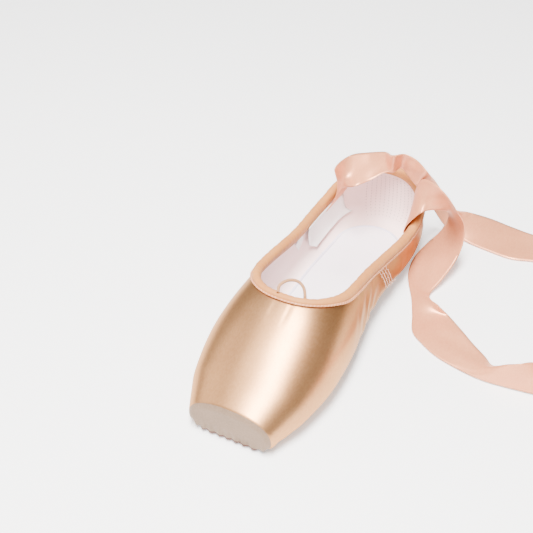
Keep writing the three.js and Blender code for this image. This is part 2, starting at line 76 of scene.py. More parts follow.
# at, half width, crown, girth height, arch rise, wall
SECTIONS = np.array([
    (0.00, 0.635, 0.410, 0.17, 0.0, 3.2),
    (0.05, 0.765, 0.525, 0.21, 0.0, 3.0),
    (0.10, 0.880, 0.640, 0.25, 0.0, 2.8),
    (0.20, 0.990, 0.840, 0.30, 0.0, 2.4),
    (0.28, 1.000, 0.980, 0.32, 0.0, 2.1),
    (0.36, 0.965, 1.070, 0.32, 0.0, 1.8),
    (0.45, 0.885, 1.120, 0.32, 1.2, 1.6),
    (0.54, 0.820, 1.140, 0.33, 3.4, 1.6),
    (0.63, 0.810, 1.100, 0.34, 4.2, 1.6),
    (0.72, 0.840, 1.070, 0.33, 1.8, 1.6),
    (0.80, 0.850, 1.070, 0.32, 0.0, 1.7),
    (0.87, 0.830, 1.100, 0.32, 0.0, 1.8),
    (1.00, 0.800, 1.180, 0.34, 0.0, 1.8),
])
WIDE, CROWN, GIRTH, RISE, WALL = 1, 2, 3, 4, 5

# at, open angle of the collar in degrees
COLLAR = np.array([
    (0.28, 39.0), (0.35, 42.5), (0.43, 51.0), (0.51, 58.0), (0.59, 63.5),
    (0.68, 67.0), (0.80, 69.5), (0.88, 67.5), (0.94, 62.0), (1.00, 56.0),
])

# at, half width of the outsole
SOLE_OUTLINE = np.array([
    (0.08, 0.44), (0.16, 0.55), (0.26, 0.57), (0.38, 0.48), (0.52, 0.36),
    (0.64, 0.34), (0.76, 0.39), (0.86, 0.43), (0.955, 0.43),
])


def along(table, column, at):
    """Smooth values of one column of a table at shares of the length."""
    at = np.asarray(at, dtype=float)
    x, v = table[:, 0], table[:, column]
    last = len(table) - 1
    i = np.clip(np.searchsorted(x, at, side="right") - 1, 0, last - 1)
    before = np.maximum(np.arange(last + 1) - 1, 0)
    after = np.minimum(np.arange(last + 1) + 1, last)
    slopes = (v[after] - v[before]) / (x[after] - x[before])
    step = x[i + 1] - x[i]
    u = np.clip((at - x[i]) / step, 0, 1)
    rest = (1 - u) ** 2
    return (
        v[i] * (1 + 2 * u) * rest
        + step * slopes[i] * u * rest
        + v[i + 1] * u * u * (3 - 2 * u)
        + step * slopes[i + 1] * u * u * (u - 1)
    )


def rounding(u, power):
    return (1 - np.clip(u, 0, 1) ** power) ** (1 / power)


def soft_step(low, high, value):
    u = np.clip((value - low) / (high - low), 0, 1)
    return u * u * (3 - 2 * u)


def bump_at(value, middle, width):
    """Soft hill of height 1 about a middle."""
    return np.exp(-(((value - middle) / width) ** 2))


def lengthwise(at):
    return TOE_Y + LENGTH * at


def share_of(y):
    return (y - TOE_Y) / LENGTH


def heel_share(at):
    return np.maximum(0.0, (lengthwise(at) - LENGTH / 2 + HEEL_ROUND) / HEEL_ROUND)


def section_at(at, inset):
    """Half width, crown, girth height and base of sections, drawn in by inset."""
    drop = TOE_DROP * np.maximum(0.0, 1 - at / SOLE_TIP_AT) ** 1.5
    half = (along(SECTIONS, WIDE, at) * HALF - inset) * rounding(heel_share(at), HEEL_POWER)
    crown = along(SECTIONS, CROWN, at) * INSTEP_HEIGHT - inset
    girth = along(SECTIONS, GIRTH, at) * INSTEP_HEIGHT
    base = SOLE_THICKNESS + GAP + np.maximum(0.0, along(SECTIONS, RISE, at)) - drop + inset
    return half, crown, girth, base


def form_points(at, turn, inset, end_inset=0.0):
    """Points of the last's form: turn 0 to 1 tread, 1 to 2 lower quarter, 2 to 3 upper quarter."""
    at, turn, inset = np.broadcast_arrays(*(np.asarray(v, dtype=float) for v in (at, turn, inset)))
    half, crown, girth, base = section_at(at, inset)
    low = np.clip(turn - 1, 0, 1) * np.pi / 2
    high = np.clip(turn - 2, 0, 1) * np.pi / 2
    lower_x = half * (TREAD_SHARE + (1 - TREAD_SHARE) * np.sin(low) ** (2 / LOWER_POWER))
    lower_z = girth - (girth - base) * np.maximum(np.cos(low), 0) ** (2 / LOWER_POWER)
    upper_x = half * np.maximum(np.cos(high), 0) ** (2 / UPPER_POWER)
    upper_x = np.where(turn >= 3, 0.0, upper_x)
    upper_z = girth + (crown - girth) * np.sin(high) ** (2 / UPPER_POWER)
    x = np.where(turn < 1, turn * TREAD_SHARE * half, np.where(turn < 2, lower_x, upper_x))
    z = np.where(turn < 1, base, np.where(turn < 2, lower_z, upper_z))
    back = heel_share(at)
    under = np.clip(1 - (z - base) / (girth - base), 0, 1)
    above = np.maximum(0.0, (z - girth) / (crown - girth))
    tuck = HEEL_TUCK * (1 - np.sqrt(1 - under * under))
    lean = HEEL_LEAN * above * above
    front = np.maximum(0.0, 1 - at / PLATFORM_END_AT)
    y = lengthwise(at) - back * back * (tuck + lean + inset) + front * end_inset
    return np.stack([x, y, z], axis=-1)


def collar_turn(at):
    opened = along(COLLAR, 1, at) * rounding(1 - (at - THROAT_AT) / THROAT_ROUND, 2)
    return np.where(at <= THROAT_AT, 3.0, 3 - opened / 90)


def closing(y, start, end, radius, end_power=2):
    """1 along a plate, rounding down to 0 at both of its ends."""
    return rounding((start + radius - y) / radius, 2) * rounding((y - end + radius) / radius, end_power)


def sole_half(at, lap):
    """Half width of the outsole, drawn in by lap all round."""
    tip = lengthwise(SOLE_TIP_AT) + lap
    end = lengthwise(SOLE_END_AT) - lap
    y = lengthwise(at)
    wide = np.maximum(0.0, along(SOLE_OUTLINE, 1, at) * HALF - lap)
    return np.where((y <= tip) | (y >= end), 0.0, wide * closing(y, tip, end, SOLE_ROUND))


def wall_at(at):
    return along(SECTIONS, WALL, at)


def catmull(points, count):
    """Points of a centripetal Catmull-Rom curve through rows, evenly spaced in the parameter."""
    p = np.asarray(points, dtype=float)
    p = np.vstack([2 * p[0] - p[1], p, 2 * p[-1] - p[-2]])
    out = []
    spans = len(p) - 3
    for t in np.linspace(0, spans, count):
        i = min(int(t), spans - 1)
        u = t - i
        a, b, c, d = p[i : i + 4]
        t0, t1, t2 = (max(np.linalg.norm(e - s) ** 0.5, 1e-3) for s, e in ((a, b), (b, c), (c, d)))
        m1 = (b - a) / t0 - (c - a) / (t0 + t1) + (c - b) / t1
        m2 = (c - b) / t1 - (d - b) / (t1 + t2) + (d - c) / t2
        m1, m2 = m1 * t1, m2 * t1
        out.append(
            (2 * u**3 - 3 * u**2 + 1) * b
            + (u**3 - 2 * u**2 + u) * m1
            + (3 * u**2 - 2 * u**3) * c
            + (u**3 - u**2) * m2
        )
    return np.array(out)


def normals_of(grid):
    """Unit normals of a grid of points, rows along the shoe and columns round it."""
    length, girth = np.gradient(grid, axis=0), np.gradient(grid, axis=1)
    n = np.cross(length, girth)
    return n / np.maximum(np.linalg.norm(n, axis=-1, keepdims=True), 1e-9)


def waves(p, seed, scale, octaves=3):
    """Smooth repeatable noise about 0 over points in mm, from a few crossing sines."""
    rng = np.random.default_rng(seed)
    total = np.zeros(p.shape[:-1])
    for octave in range(octaves):
        for _ in range(4):
            way = rng.normal(size=3)
            way /= np.linalg.norm(way)
            phase = rng.uniform(0, 2 * np.pi)
            pace = 2 * np.pi / (scale / 1.7**octave)
            total += np.sin(p @ way * pace + phase) / 1.6**octave
    return total / 4


# Camera at the photograph's angle, and the studio

CAMERA_AT = (206.4, -457.6, 452.1)
CAMERA_AZIMUTH = 27.94
CAMERA_ELEVATION = 39.23
FOCAL_LENGTH = 73.5
SENSOR_WIDTH = 36.0

# name, place, target and size in metres, watts, colour
LIGHTS = [
    ("overhead", (0.08, -0.36, 1.1), (0, -0.06, 0), (0.3, 0.8), 74.0, (1.0, 0.985, 0.96)),
    ("left", (-1.3, -0.5, 0.9), (0, 0, 0.03), (1.0, 1.0), 10.0, (1.0, 0.97, 0.93)),
    ("front", (0.5, -1.3, 1.1), (0, -0.05, 0.03), (1.2, 1.2), 4.0, (1.0, 1.0, 1.0)),
]
WORLD_STRENGTH = 0.25
FLOOR_HALF = 4.0
FLOOR_GLOW = 0.6
WHITE = (1.0, 1.0, 1.0, 1.0)


def add_camera():
    data = bpy.data.cameras.new("camera")
    data.sensor_width = SENSOR_WIDTH
    data.lens = FOCAL_LENGTH
    data.clip_end = 20.0
    camera = bpy.data.objects.new("camera", data)
    bpy.context.scene.collection.objects.link(camera)
    camera.location = [v * MM for v in CAMERA_AT]
    camera.rotation_euler = (math.radians(90 - CAMERA_ELEVATION), 0, math.radians(CAMERA_AZIMUTH))
    bpy.context.scene.camera = camera


def add_light(name, place, target, size, watts, colour):
    data = bpy.data.lights.new(name, "AREA")
    data.shape = "RECTANGLE"
    data.size, data.size_y = size
    data.energy = watts
    data.color = colour
    light = bpy.data.objects.new(name, data)
    bpy.context.scene.collection.objects.link(light)
    light.location = place
    aim = Vector(target) - Vector(place)
    light.rotation_euler = aim.to_track_quat("-Z", "Y").to_euler()


# Materials: each is a node tree in object coordinates, in metres


class Shader:
    """A small helper round one Principled material."""

    def __init__(self, name, **values):
        self.material = bpy.data.materials.new(name)
        self.material.use_nodes = True
        self.tree = self.material.node_tree
        self.bsdf = self.tree.nodes["Principled BSDF"]
        self.coords = self.add("ShaderNodeTexCoord").outputs["Object"]
        for socket, value in values.items():
            self.bsdf.inputs[socket.replace("_", " ")].default_value = value

    def add(self, kind, **values):
        node = self.tree.nodes.new(kind)
        for key, value in values.items():
            setattr(node, key, value)
        return node

    def link(self, a, b):
        self.tree.links.new(a, b)

    def stretched(self, scale):
        node = self.add("ShaderNodeMapping")
        node.inputs["Scale"].default_value = scale
        self.link(self.coords, node.inputs["Vector"])
        return node.outputs["Vector"]

    def noise(self, scale, detail=4.0, rough=0.55, stretch=(1, 1, 1)):
        node = self.add("ShaderNodeTexNoise")
        node.inputs["Scale"].default_value = scale
        node.inputs["Detail"].default_value = detail
        node.inputs["Roughness"].default_value = rough
        self.link(self.stretched(stretch), node.inputs["Vector"])
        return node.outputs["Fac"]

    def ramp(self, value, stops):
        node = self.add("ShaderNodeValToRGB")
        elements = node.color_ramp.elements
        while len(elements) < len(stops):
            elements.new(0.5)
        for element, (place, colour) in zip(elements, stops):
            element.position = place
            element.color = (*colour, 1.0)
        self.link(value, node.inputs["Fac"])
        return node.outputs["Color"]

    def mix(self, factor, a, b, blend="MIX"):
        """Blend of a and b, each a socket or a colour, by a factor socket."""
        node = self.add("ShaderNodeMix", data_type="RGBA", blend_type=blend)
        for name, value in (("Factor", factor), ("A", a), ("B", b)):
            socket = node.inputs[name]
            if isinstance(value, bpy.types.NodeSocket):
                self.link(value, socket)
            else:
                socket.default_value = (*value, 1.0)
        return node.outputs["Result"]

    def maths(self, operation, a, b):
        node = self.add("ShaderNodeMath", operation=operation)
        self.link(a, node.inputs[0])
        self.link(b, node.inputs[1])
        return node.outputs["Value"]

    def bump(self, *layers):
        """Layers of (height, distance in metres), summed into the normal."""
        normal = None
        for height, distance in layers:
            node = self.add("ShaderNodeBump")
            node.inputs["Distance"].default_value = distance
            self.link(height, node.inputs["Height"])
            if normal is not None:
                self.link(normal, node.inputs["Normal"])
            normal = node.outputs["Normal"]
        self.link(normal, self.bsdf.inputs["Normal"])

    def axis(self, name):
        apart = self.add("ShaderNodeSeparateXYZ")
        self.link(self.coords, apart.inputs["Vector"])
        return apart.outputs[name]

    def rise(self, value, low, high):
        """0 to 1 as the value goes from low to high, or from high to low where low is the larger."""
        span = self.add("ShaderNodeMapRange", interpolation_type="SMOOTHSTEP")
        span.inputs["From Min"].default_value = min(low, high)
        span.inputs["From Max"].default_value = max(low, high)
        span.inputs["To Min"].default_value = float(low > high)
        span.inputs["To Max"].default_value = float(low < high)
        self.link(value, span.inputs["Value"])
        return span.outputs["Result"]

    def facing(self, blend):
        node = self.add("ShaderNodeLayerWeight")
        node.inputs["Blend"].default_value = blend
        return node.outputs["Facing"]

    def colour(self, socket):
        self.link(socket, self.bsdf.inputs["Base Color"])


# Along the shoe, in metres, the satin turns from its front colour to its back colour, a darker painted
# shade on the quarters behind the throat
SHADED_BACK_FROM = -0.062
SHADED_BACK_TO = -0.008

# The painted contact shadow along the satin's lower edge under the toe, in metres: its heights, their
# blurs, and where it fades lengthwise
CONTACT_SHADOW_LOW = 0.0006
CONTACT_SHADOW_LOW_BLUR = 0.0003
CONTACT_SHADOW_HIGH = 0.0032
CONTACT_SHADOW_HIGH_BLUR = 0.0005
CONTACT_SHADOW_FADED = -0.02
CONTACT_SHADOW_FULL = -0.05

# Satin's grain, per metre and in metres
GRAIN_SCALE = 900.0
GRAIN_DEPTH = 0.000004


def satin_material(name, lit, shade, edge, metallic, rough, back=None, contact_shadow=None):
    """Smooth satin; back is its colour behind the throat, a painted shade, and the last colour that of
    its lower edge, a painted shadow, if given.
    """
    s = Shader(name, Metallic=metallic, Roughness=rough, Sheen_Weight=0.06, Sheen_Roughness=0.4)
    s.bsdf.inputs["Sheen Tint"].default_value = (*lit, 1.0)
    s.bsdf.inputs["Specular Tint"].default_value = (1.0, 0.8, 0.62, 1.0)
    mottle = s.noise(38.0, 5.0, 0.6, (1, 0.6, 1))
    base = s.ramp(mottle, [(0.3, shade), (0.7, lit)])
    # Seen at a grazing angle the colour turns to edge: painted sheen where edge is lighter, painted
    # shade where it is darker
    grazing = s.ramp(s.facing(0.35), [(0.35, (0, 0, 0)), (0.95, (0.85, 0.85, 0.85))])
    base = s.mix(grazing, base, edge)
    if back is not None:
        # Painted shade: the satin behind the throat turns to the darker back colour
        base = s.mix(s.rise(s.axis("Y"), SHADED_BACK_FROM, SHADED_BACK_TO), base, back)
    grain = s.noise(GRAIN_SCALE, 2.0, 0.6, (1.0, 0.5, 1.0))
    threads = s.ramp(grain, [(0.35, (0, 0, 0)), (0.65, (0.16, 0.16, 0.16))])
    base = s.mix(threads, base, shade, "MULTIPLY")
    # Painted shadow: a near-black band low on the satin's front edge
    if contact_shadow is not None:
        height = s.axis("Z")
        above = s.rise(height, CONTACT_SHADOW_LOW, CONTACT_SHADOW_LOW + CONTACT_SHADOW_LOW_BLUR)
        below = s.rise(height, CONTACT_SHADOW_HIGH + CONTACT_SHADOW_HIGH_BLUR, CONTACT_SHADOW_HIGH)
        front = s.rise(s.axis("Y"), CONTACT_SHADOW_FADED, CONTACT_SHADOW_FULL)
        base = s.mix(s.maths("MULTIPLY", s.maths("MULTIPLY", above, below), front), base, contact_shadow)
    s.colour(base)
    s.bump((grain, GRAIN_DEPTH))
    return s.material


def cloth_material(name, light, dark, thread, rough, depth=0.00005, sheen=0.2):
    """Plain cloth: two crossed thread noises, thread per metre, over a soft mottle."""
    s = Shader(name, Roughness=rough, Sheen_Weight=sheen, Sheen_Roughness=0.5, Specular_IOR_Level=0.25)
    warp = s.noise(thread, 1.0, 0.4, (1.0, 0.16, 1.0))
    weft = s.noise(thread, 1.0, 0.4, (0.16, 1.0, 0.16))
    weave = s.maths("MAXIMUM", warp, weft)
    tone = s.ramp(s.noise(60.0, 5.0), [(0.3, dark), (0.7, light)])
    raised = s.ramp(weave, [(0.35, (0.86, 0.86, 0.86)), (0.7, (1, 1, 1))])
    s.colour(s.mix(raised, dark, tone))
    s.bump((s.noise(110.0, 3.0), 0.0003), (weave, depth))
    return s.material


# Mesh pieces


def add_object(name, data):
    obj = bpy.data.objects.new(name, data)
    bpy.context.scene.collection.objects.link(obj)
    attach(obj, "root")
    return obj


def mesh_piece(name, points, faces, materials, face_material=None, merge=0.0):
    """Smooth-shaded mesh from points in mm; merge welds points nearer than that."""
    mesh = bpy.data.meshes.new(name)
    mesh.from_pydata((np.asarray(points) * MM).tolist(), [], [list(map(int, f)) for f in faces])
    for material in materials:
        mesh.materials.append(material)
    mesh.polygons.foreach_set("use_smooth", [True] * len(mesh.polygons))
    if face_material is not None:
        mesh.polygons.foreach_set("material_index", [int(m) for m in face_material])
    if merge:
        bm = bmesh.new()
        bm.from_mesh(mesh)
        bmesh.ops.remove_doubles(bm, verts=bm.verts, dist=merge * MM)
        bmesh.ops.recalc_face_normals(bm, faces=bm.faces)
        bm.to_mesh(mesh)
        bm.free()
    mesh.validate()
    mesh.update()
    return add_object(name, mesh)


def grid_faces(rows, columns, first=0, wrap=False, flip=False):
    """Quads of a grid of points; wrap joins its last column to its first."""
    r = np.arange(rows - 1)[:, None]
    c = np.arange(columns if wrap else columns - 1)[None, :]
    nxt = (c + 1) % columns
    quad = np.stack(
        [r * columns + c, (r + 1) * columns + c, (r + 1) * columns + nxt, r * columns + nxt], axis=-1
    ).reshape(-1, 4)
    return (quad[:, ::-1] if flip else quad) + first


def tube_faces(rows, columns):
    """Faces of a tube of rings, with a cap at each end as the last two."""
    faces = [list(f) for f in grid_faces(rows, columns, wrap=True)]
    total = rows * columns
    return faces + [list(range(columns))[::-1], list(range(total - columns, total))]


def both_sides(grid, flip, shape):
    """Points and faces of a grid of one side and its mirror, each shaped by its own relief."""
    points, faces = [], []
    for first, side in ((0, 1), (grid.shape[0] * grid.shape[1], -1)):
        points.append(shape(grid, side).reshape(-1, 3))
        faces.append(grid_faces(*grid.shape[:2], first=first, flip=flip == (side > 0)))
    return np.vstack(points), np.vstack(faces)


# Steps of each half of the form's surface, round its tread
TREAD_STEPS = 8


def turns_of(at, inset, lower, upper):
    """Turns of one station from the sole opening to the collar, as a row."""
    half = section_at(at, inset)[0]
    first = min(float(sole_half(at, SOLE_LAP)) / (TREAD_SHARE * max(float(half), 1)), 0.96)
    return np.concatenate([
        np.linspace(first, 1, TREAD_STEPS, endpoint=False),
        np.linspace(1, 2, lower, endpoint=False),
        np.linspace(2, float(collar_turn(at)), upper),
    ])


def shell_grid(wall, rim_steps, middle_steps, lower, upper, face_steps):
    """Half of the form's surface, drawn in by a share of the wall: platform, rim and body."""
    radius, end = PLATFORM_RADIUS, wall * PLATFORM_WALL
    rows = []
    for angle in np.linspace(0, math.pi / 2, rim_steps, endpoint=False):
        at = radius * (1 - math.cos(angle)) / LENGTH
        turn = turns_of(at, 0, lower, upper)
        inset = wall * wall_at(at) + radius * (1 - math.sin(angle))
        row = form_points(at, turn, inset)
        row[:, 1] = lengthwise(at) + end
        rows.append(row)
    centre = np.array([0, rows[0][0, 1], (rows[0][0, 2] + rows[0][-1, 2]) / 2])
    shares = np.concatenate([[1e-3], np.linspace(0, 1, face_steps, endpoint=False)[1:]])
    face = [centre + (rows[0] - centre) * share for share in shares]
    start = radius / LENGTH
    heel = 1 - HEEL_ROUND / LENGTH
    body = np.linspace(start, heel, middle_steps, endpoint=False)
    close = heel + (1 - heel) * np.sin(np.linspace(0, np.pi / 2, middle_steps // 4))
    throat = THROAT_AT + THROAT_ROUND * np.linspace(0, 1, 24) ** 2
    stations = np.unique(np.round(np.concatenate([body, throat, close]), 6))
    stations = stations[np.concatenate([np.diff(stations) > 4e-4, [True]])]
    for at in stations:
        turn = turns_of(at, wall * wall_at(at), lower, upper)
        rows.append(form_points(at, turn, wall * wall_at(at), end))
    return np.array(face + rows)


# Share of a stitch's length and of its radius, from end to end
STITCH_RINGS = ((0, 0.35), (0.12, 0.8), (0.5, 1.0), (0.88, 0.8), (1, 0.35))


def capsule(a, b, radius, sides):
    """Small rounded stitch between two points."""
    a, b = np.asarray(a, float), np.asarray(b, float)
    along_it = (b - a) / max(np.linalg.norm(b - a), 1e-6)
    side = np.cross(along_it, [0.3, 0.5, 0.8])
    side /= np.linalg.norm(side)
    up = np.cross(along_it, side)
    spin = np.linspace(0, 2 * np.pi, sides, endpoint=False)[:, None]
    circle = np.cos(spin) * side + np.sin(spin) * up
    rings = [a + (b - a) * share + radius * wide * circle for share, wide in STITCH_RINGS]
    return np.vstack(rings), tube_faces(len(rings), sides)


def stitch_piece(name, stitches, radius, material, sides=6):
    points, faces, first = [], [], 0
    for a, b in stitches:
        p, f = capsule(a, b, radius, sides)
        points.append(p)
        faces += [[k + first for k in face] for face in f]
        first += len(p)
    return mesh_piece(name, np.vstack(points), faces, [material])


def piping_piece(name, loop, radius, material, sides=10):
    """Round piping along a closed loop of points."""
    loop = np.asarray(loop)
    tangent = np.roll(loop, -1, axis=0) - np.roll(loop, 1, axis=0)
    tangent /= np.linalg.norm(tangent, axis=1, keepdims=True)
    side = np.cross(tangent, [0, 0, 1])
    side /= np.linalg.norm(side, axis=1, keepdims=True)
    up = np.cross(side, tangent)
    spin = np.linspace(0, 2 * np.pi, sides, endpoint=False)[None, :, None]
    rings = loop[:, None] + radius * (np.cos(spin) * side[:, None] + np.sin(spin) * up[:, None])
    rings = np.concatenate([rings, rings[:1]])
    faces = grid_faces(*rings.shape[:2], wrap=True)
    return mesh_piece(name, rings.reshape(-1, 3), faces, [material], merge=0.001)


def spaced(points, pitch):
    """Points along a polyline at an even pitch."""
    points = np.asarray(points)
    seg = np.linalg.norm(np.diff(points, axis=0), axis=1)
    s = np.concatenate([[0], np.cumsum(seg)])
    marks = np.arange(0, s[-1], pitch)
    return np.stack([np.interp(marks, s, points[:, k]) for k in range(3)], axis=-1)


# Upper: satin outside, lining inside

# The side seam's two ends, as (at, turn) on the form and as y and z in mm
SEAM_TOP = (0.586, 2.26)
SEAM_FOOT = (0.683, 1.72)
SEAM_LINE = (19.5, 39.5, 41.3, 12.9)

# Puckers at the throat: place across the shoe and depth
THROAT_PUCKERS = ((6.5, 0.24), (2.5, 0.12), (-2.0, 0.16))

# The platform's own material, a duller satin darkened as painted shade, reaches this deep, and a dark
# brown painted shade under the front this high and this far back
PLATFORM_FACE_DEPTH = 1.4
SHADED_UNDERSIDE_HEIGHT = 1.9
SHADED_UNDERSIDE_END_AT = 0.3


def satin_relief(p):
    """Height in mm of folds, gathers and pleats over the satin's outer surface."""
    x, y, z = p[..., 0], p[..., 1], p[..., 2]
    at = share_of(y)
    height = 0.16 * waves(p, 3, 90.0, 2) + 0.04 * waves(p, 5, 30.0, 2)
    # Loose satin on the quarters, in slanting folds
    quarter = soft_step(0.4, 0.5, at) * (1 - soft_step(0.93, 1.0, at)) * soft_step(6, 16, z)
    slant = (0.8 * y + 1.0 * z) / 4.6 + 2.2 * waves(p, 7, 40.0)
    height += 0.5 * quarter * np.sin(slant) * (0.55 + 0.45 * waves(p, 9, 22.0))
    # Crinkles below the throat's corners, where the satin is drawn back to the seam
    drawn = bump_at(y, -3.0, 17.0) * soft_step(5, 12, z) * (1 - soft_step(32, 42, z))
    height += 0.3 * drawn * np.sin((0.78 * y - 0.62 * z) / 1.8 + 1.8 * waves(p, 15, 34.0))
    # Puckers in the vamp under the casing's opening at the throat
    near_throat = soft_step(-66.0, -57.0, y) * soft_step(34, 40, z)
    for middle, depth in THROAT_PUCKERS:
        height += near_throat * depth * (0.5 * bump_at(x, middle + 1.6, 0.9) - bump_at(x, middle, 0.9))
    # Side seam: a low ridge between two troughs
    y0, z0, y1, z1 = SEAM_LINE
    run = math.hypot(y1 - y0, z1 - z0)
    off = ((y - y0) * (z1 - z0) - (z - z0) * (y1 - y0)) / run
    seam = soft_step(4, 10, z)
    ridge = 0.45 * bump_at(off, 0, 1.6)
    height += seam * (ridge - 0.3 * bump_at(off, 3.0, 1.4) - 0.3 * bump_at(off, -3.0, 1.4))
    # Pleats gathered under the platform, dying out up its sides
    low = 1 - soft_step(2.0, 11.0, z)
    front = 1 - soft_step(0.05, 0.16, at)
    pleat = np.cos(2 * np.pi * x / 5.2 + 1.3 * waves(p, 11, 18.0) + 0.05 * y)
    height += low * front * (0.55 * pleat - 0.35)
    # Small gathers down to the feather edge
    edge = (1 - soft_step(3.0, 9.0, z)) * soft_step(0.12, 0.2, at)
    height += edge * (0.12 * np.cos(2 * np.pi * y / 3.7 + 2 * waves(p, 13, 15.0)) - 0.14)
    return height


def lining_relief(p):
    """Height in mm of the lining's soft unevenness, looser behind the throat."""
    at = share_of(p[..., 1])
    loose = soft_step(0.4, 0.55, at)
    return 0.14 * waves(p, 21, 34.0) + 0.12 * loose * waves(p * [1, 0.5, 1.3], 23, 16.0)


def shaped(relief, flip):
    """Mirrors half a grid and moves it along its normals by the relief of the placed points."""

    def shape(grid, side):
        n = normals_of(grid) * (-1 if flip else 1)
        n[..., 0] = np.where(np.abs(grid[..., 0]) < 1e-4, 0, n[..., 0])
        placed, normal = grid * [side, 1, 1], n * [side, 1, 1]
        return placed + normal * relief(placed)[..., None]

    return shape


def add_upper(satin, shaded_toe_satin, underside_shade, lining):
    outer = shell_grid(wall=0, rim_steps=8, middle_steps=240, lower=26, upper=46, face_steps=14)
    inward = normals_of(outer)[len(outer) // 2, -6, 2] < 0
    points, faces = both_sides(outer, False, shaped(satin_relief, inward))
    centres = points[faces].mean(axis=1)
    # Faces on the platform take its duller satin, darkened as painted shade
    kind = (centres[:, 1] < TOE_Y + PLATFORM_FACE_DEPTH).astype(int)
    # Faces low under the front take a dark brown painted shade
    kind[(centres[:, 2] < SHADED_UNDERSIDE_HEIGHT) & (centres[:, 1] < lengthwise(SHADED_UNDERSIDE_END_AT))] = 2
    upper = mesh_piece("satin_upper", points, faces, [satin, shaded_toe_satin, underside_shade], kind, merge=0.02)
    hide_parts("upper")
    inner = shell_grid(wall=1, rim_steps=3, middle_steps=120, lower=14, upper=26, face_steps=6)
    points, faces = both_sides(inner, True, shaped(lining_relief, not inward))
    inside = mesh_piece("upper_lining", points, faces, [lining], merge=0.02)
    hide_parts("upper")


def on_form(at, turn, out, side=1):
    """Point at a height along the normal over the outer surface, and that normal."""
    step = -1e-4 if at > 0.5 else 1e-3
    here = form_points(at, turn, 0)
    n = np.cross(form_points(at + step, turn, 0) - here, form_points(at, turn - 0.03, 0) - here)
    n *= -math.copysign(1, step)
    if abs(here[0]) < 1e-6:
        n[0] = 0
    n /= np.linalg.norm(n)
    return (here + n * out) * [side, 1, 1], n * [side, 1, 1]


# Binding round the collar: a rolled casing with a stitched flange outside

# Out and up of the profile's corners, from the collar's edge
BINDING = [
    (1.75, -3.65), (2.45, -3.7), (2.6, -2.9), (2.35, -2.2), (2.95, -1.3), (3.4, 0.3), (2.7, 2.1),
    (0.8, 2.95), (-1.2, 2.4), (-2.3, 0.8), (-2.65, -2.6), (-1.85, -2.7), (-1.5, 0.4), (1.5, 0.4),
]
PROFILE_STEPS = 4

# The flange's two rows of stitches: up, out, and the stitch's share of the pitch
FLANGE_STITCHES = ((-2.75, 2.62, 0.62), (-3.45, 2.55, 0.5))
FLANGE_STITCH_PITCH = 2.1
FLANGE_STITCH_RADIUS = 0.24


def flange_share(y):
    """Share of the flange's depth, which lessens from the sides to the throat."""
    return 1 - 0.38 * soft_step(22.0, 46.0, -y)


def collar_frames(count):
    """Closed loop of frames along the collar's edge: middle, out and up."""
    half = THROAT_AT + (1 - THROAT_AT) * np.sin(np.linspace(0, np.pi / 2, count)) ** 2
    half = np.sort(np.concatenate([half, np.linspace(THROAT_AT, 1, count // 2)[1:-1]]))
    half = half[np.concatenate([[True], np.diff(half[:-1]) > 2e-4, [True]])]
    middle, away = [], []
    for at in half:
        turn = float(collar_turn(at))
        wall = float(wall_at(at))
        middle.append((form_points(at, turn, 0) + form_points(at, turn, wall)) / 2)
        away.append(on_form(at, turn, 0)[1])
    middle, away = np.array(middle), np.array(away)
    mirror = np.array([-1, 1, 1])
    middle = np.vstack([middle, middle[1:-1][::-1] * mirror])
    away = np.vstack([away, away[1:-1][::-1] * mirror])
    even = np.vstack([middle, middle[:1]])
    s = np.concatenate([[0], np.cumsum(np.linalg.norm(np.diff(even, axis=0), axis=1))])
    marks = np.linspace(0, s[-1], 3 * count, endpoint=False)
    around = np.vstack([away, away[:1]])
    middle = np.stack([np.interp(marks, s, even[:, k]) for k in range(3)], axis=-1)
    away = np.stack([np.interp(marks, s, around[:, k]) for k in range(3)], axis=-1)
    for _ in range(2):
        middle = (np.roll(middle, 1, axis=0) + 2 * middle + np.roll(middle, -1, axis=0)) / 4
    tangent = np.roll(middle, -1, axis=0) - np.roll(middle, 1, axis=0)
    tangent /= np.linalg.norm(tangent, axis=1, keepdims=True)
    out = away - tangent * np.sum(away * tangent, axis=1, keepdims=True)
    out /= np.linalg.norm(out, axis=1, keepdims=True)
    up = np.cross(out, tangent)
    up /= np.linalg.norm(up, axis=1, keepdims=True)
    return middle, out, up, s[-1]


